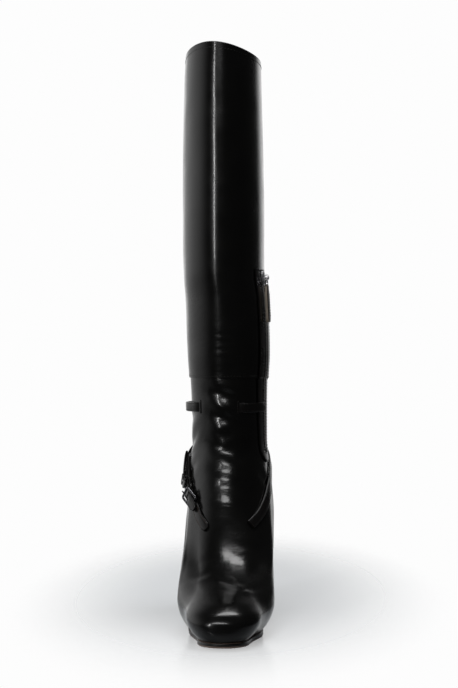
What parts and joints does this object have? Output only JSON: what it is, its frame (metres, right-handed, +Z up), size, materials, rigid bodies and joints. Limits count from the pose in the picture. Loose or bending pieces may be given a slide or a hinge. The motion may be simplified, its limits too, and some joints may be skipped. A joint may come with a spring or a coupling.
{
  "type": "knee-high boot",
  "caption": "Tall right boot in glossy black calf on a block heel, with a half-length inner zip, a slotted ankle strap and a buckled harness strap.",
  "frame": {"origin": "middle of the boot's outline, on the floor", "axes": "+Z up along the shaft, toe towards -Y, inner side with the zip towards +X"},
  "size_m": [0.0902, 0.271, 0.539],
  "materials": {
    "black_calf": "gloss",
    "strap_leather": "gloss",
    "sole_leather": "satin",
    "insole_leather": "matte",
    "heel_stack": "satin",
    "rubber": "matte",
    "chrome": "polished",
    "zip_metal": "satin"
  },
  "bodies": {
    "boot": {"upper": "black_calf", "outsole": "sole_leather", "insole": "insole_leather", "heel": "heel_stack", "top_lift": "rubber", "ankle_strap": "strap_leather", "ankle_strap_tip": "strap_leather", "harness_strap": "strap_leather", "strap_doubling": "strap_leather", "keeper": "strap_leather", "billet": "strap_leather", "zip_facing": "strap_leather", "zip_chain": "zip_metal", "zip_slider": "chrome", "buckle_frame": "chrome", "buckle_prong": "chrome"},
    "zip_pull": {"pull_link": "chrome", "pull_tab": "strap_leather"}
  },
  "joints": [
    {"name": "pull_swing", "type": "hinge", "parent": "boot", "child": "zip_pull", "pos_m": [0.03715, 0.03241, 0.32115], "axis": [-0.2947, -0.9549, -0.036], "range_deg": [0, 150]}
  ]
}
